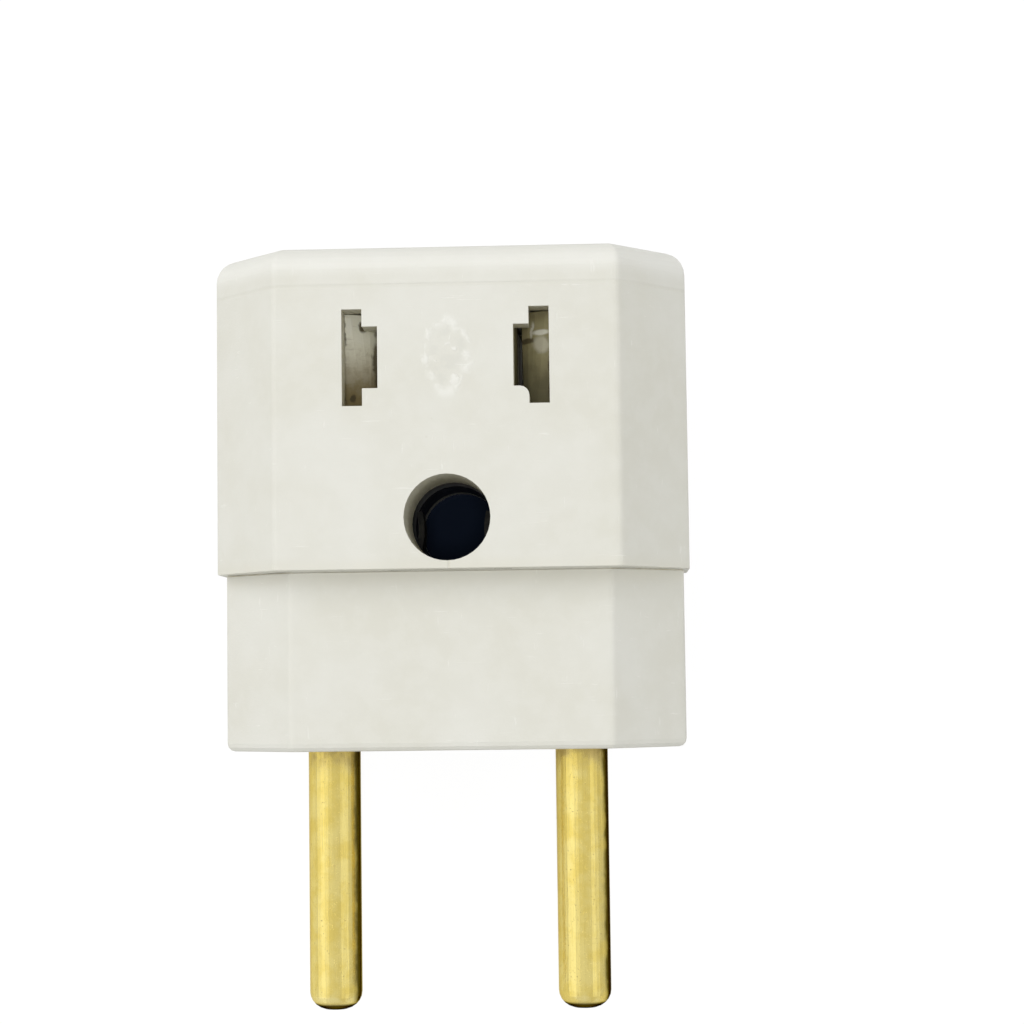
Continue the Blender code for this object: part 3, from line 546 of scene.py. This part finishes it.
def long_leaf(name, node, material):
    """Front contact with its sprung end carried up to the top of its slot, softly curved."""
    mesh = nodes[node].data.copy()
    mesh.name = name
    for vertex in mesh.vertices:
        x, y, z = vertex.co / MM
        inner = min(max((leaf_inner_x - abs(x)) / leaf_inner_fade, 0.0), 1.0)
        upper = min(max((z - leaf_mouth_z) / leaf_mouth_fade, 0.0), 1.0)
        vertex.co.x -= math.copysign(leaf_widening * inner * upper, x) * MM
        vertex.co.y += leaf_growth * max(y - leaf_foot_y, 0.0) * MM
    mesh.materials.clear()
    mesh.materials.append(material)
    mesh.shade_smooth()
    mesh.set_sharp_from_angle(angle=math.radians(60))
    piece = bpy.data.objects.new(name, mesh)
    bpy.context.scene.collection.objects.link(piece)
    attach(piece, "root")
    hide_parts(node)


def base_outline(inset):
    """The eight corners (x, z) of the base's outline, drawn in by inset, round mid-depth."""
    wide = base_width / 2 - inset
    deep = base_depth / 2 - inset
    cut_x, cut_z = base_cut
    return [
        (wide, deep - cut_z), (wide - cut_x, deep), (cut_x - wide, deep), (-wide, deep - cut_z),
        (-wide, cut_z - deep), (cut_x - wide, -deep), (wide - cut_x, -deep), (wide, cut_z - deep)]


def seam_fill():
    """Dirt lodged in the seam between the hood and the base, just behind their faces."""
    setback = 0.08
    thickness = 0.5
    gap = 0.01
    corners = []
    for inset in (setback, setback + thickness):
        for level in (step_y - seam_height + gap, step_y - gap):
            corners += [(x * MM, level * MM, (z + middle_z) * MM) for x, z in base_outline(inset)]
    faces = []
    for side in range(8):
        after = (side + 1) % 8
        faces += [
            (side, after, 8 + after, 8 + side), (16 + after, 16 + side, 24 + side, 24 + after),
            (8 + side, 8 + after, 24 + after, 24 + side), (after, side, 16 + side, 16 + after)]
    mesh = bpy.data.meshes.new("seam_dirt")
    mesh.from_pydata(corners, [], faces)
    material, tree, shader = blank_material("seam_dirt")
    cloud = noise(tree, millimetres(tree), 0.8, 3.0)
    tone = mixed(
        tree, fade(tree, cloud, 0.35, 0.65), colour(0.62, 0.58, 0.45), colour(0.76, 0.73, 0.62))
    tree.links.new(tone, shader.inputs["Base Color"])
    shader.inputs["Roughness"].default_value = 0.8
    mesh.materials.append(material)
    piece = bpy.data.objects.new("seam_dirt", mesh)
    bpy.context.scene.collection.objects.link(piece)
    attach(piece, "root")


seam_fill()
long_leaf("front_leaf_left", "front_contact_left", contact_bright)
long_leaf("front_leaf_right", "front_contact_right", contact_dull)


# Floor and studio

def seen_directly(tree, mirrored):
    """1 for what the camera sees, and a share of it for what metal and glass mirror."""
    path = add(tree, "ShaderNodeLightPath")
    through = calc(
        tree, 'MAXIMUM', path.outputs["Is Glossy Ray"], path.outputs["Is Transmission Ray"])
    share = calc(tree, 'MULTIPLY', through, mirrored)
    return calc(tree, 'MAXIMUM', path.outputs["Is Camera Ray"], share)


def make_floor():
    """Wide pale floor that the camera sees as white, with a dark patch of painted shade at the bottom of
    the earth hole.
    """
    reach = 3.0
    level = -0.02 * MM
    mesh = bpy.data.meshes.new("floor")
    mesh.from_pydata(
        [(-reach, -reach, level), (reach, -reach, level), (reach, reach, level), (-reach, reach, level)],
        [], [(0, 1, 2, 3)])
    floor = bpy.data.objects.new("floor", mesh)
    bpy.context.scene.collection.objects.link(floor)
    material, tree, shader = blank_material("floor_paper")
    x, y, _ = components(tree, millimetres(tree))
    # Dark patch of painted shade on the floor under the earth hole
    hole_shade_patch = calc(
        tree, 'MULTIPLY', near(tree, x, 0.0, 3.5, 0.5), near(tree, y, earth_y, 3.2, 0.4))
    tree.links.new(
        mixed(tree, hole_shade_patch, colour(0.76, 0.76, 0.75), colour(0.012, 0.018, 0.034)),
        shader.inputs["Base Color"])
    shader.inputs["Roughness"].default_value = 0.9
    shader.inputs["Specular IOR Level"].default_value = 0.1
    glow = add(tree, "ShaderNodeEmission", {"Color": colour(1.0, 1.0, 1.0), "Strength": 1.06})
    glowing = product(
        tree, seen_directly(tree, mirrored=0.15), calc(tree, 'SUBTRACT', 1.0, hole_shade_patch), 0.88)
    blend = add(
        tree, "ShaderNodeMixShader", {0: glowing, 1: shader.outputs[0], 2: glow.outputs[0]})
    tree.links.new(blend.outputs[0], tree.nodes["Material Output"].inputs["Surface"])
    mesh.materials.append(material)


def make_world():
    """Soft grey surround, brighter at the upper left, that the camera sees as white."""
    world = bpy.data.worlds.new("studio")
    world.use_nodes = True
    tree = world.node_tree
    tree.nodes.clear()
    source = add(tree, "ShaderNodeTexCoord")
    x, y, z = components(tree, source.outputs["Generated"])

    # Light falls off to the right, with a bright strip at each side
    strength = fade(tree, x, 0.9, -0.9, 0.40, 0.60)
    left_strip = near(tree, x, -0.76, 0.10, 0.22)
    strength = calc(tree, 'ADD', strength, calc(tree, 'MULTIPLY', left_strip, 0.66))
    right_strip = near(tree, x, 0.72, 0.05, 0.18)
    strength = calc(tree, 'ADD', strength, calc(tree, 'MULTIPLY', right_strip, 0.62))
    strength = product(
        tree, strength, fade(tree, y, -0.9, 0.9, 0.93, 1.12), fade(tree, z, -0.1, 0.5, 0.55, 1.0))

    soft = add(tree, "ShaderNodeBackground", {"Color": colour(0.99, 1.0, 1.0), "Strength": strength})
    white = add(tree, "ShaderNodeBackground", {"Color": colour(1.0, 1.0, 1.0), "Strength": 1.05})
    blend = add(
        tree, "ShaderNodeMixShader",
        {0: seen_directly(tree, mirrored=0.50), 1: soft.outputs[0], 2: white.outputs[0]})
    output = add(tree, "ShaderNodeOutputWorld")
    tree.links.new(blend.outputs[0], output.inputs["Surface"])
    bpy.context.scene.world = world


def make_lamp(name, direction, distance, size, power, tint, mirrored=True):
    """Round soft lamp, aimed at the middle of the hood's depth."""
    lamp = bpy.data.objects.new(name, bpy.data.lights.new(name, 'AREA'))
    lamp.data.shape = 'DISK'
    lamp.data.size = size
    lamp.data.energy = power
    lamp.data.color = tint
    aim = Vector((0.0, 0.0, middle_z * MM))
    lamp.location = aim + Vector(direction).normalized() * distance
    lamp.rotation_euler = (aim - lamp.location).to_track_quat('-Z', 'Y').to_euler()
    lamp.visible_glossy = mirrored
    bpy.context.scene.collection.objects.link(lamp)


def make_camera():
    """Looks down on the front face as the photograph does, from a place and turn fitted to it."""
    place = Vector((12.008, -4.227, 191.806)) * MM
    ahead = Vector((-0.041628, 0.073547, -0.996423)).normalized()
    upward = Vector((0.015817, 0.997211, 0.072944))
    right = ahead.cross(upward).normalized()
    turn = Matrix((right, right.cross(ahead), -ahead)).transposed().to_4x4()
    camera = bpy.data.objects.new("camera", bpy.data.cameras.new("camera"))
    camera.data.sensor_width = 36.0
    camera.data.lens = 83.199
    camera.data.clip_start = 0.005
    camera.data.clip_end = 20.0
    camera.matrix_world = Matrix.Translation(place) @ turn
    bpy.context.scene.collection.objects.link(camera)
    bpy.context.scene.camera = camera


make_floor()
make_world()
make_lamp(
    "key", direction=(-0.42, 0.42, 0.82), distance=0.70, size=0.55, power=1.25,
    tint=(1.0, 0.99, 0.97))
make_lamp(
    "fill", direction=(0.75, -0.25, 0.60), distance=0.80, size=0.50, power=0.62,
    tint=(0.97, 0.98, 1.0), mirrored=False)
make_lamp(
    "front", direction=(0.05, -0.06, 1.0), distance=0.70, size=0.12, power=1.15,
    tint=(1.0, 1.0, 1.0), mirrored=False)
make_camera()

view = bpy.context.scene.view_settings
view.view_transform = 'Standard'
view.look = 'None'
view.exposure = 0.0
view.gamma = 1.0
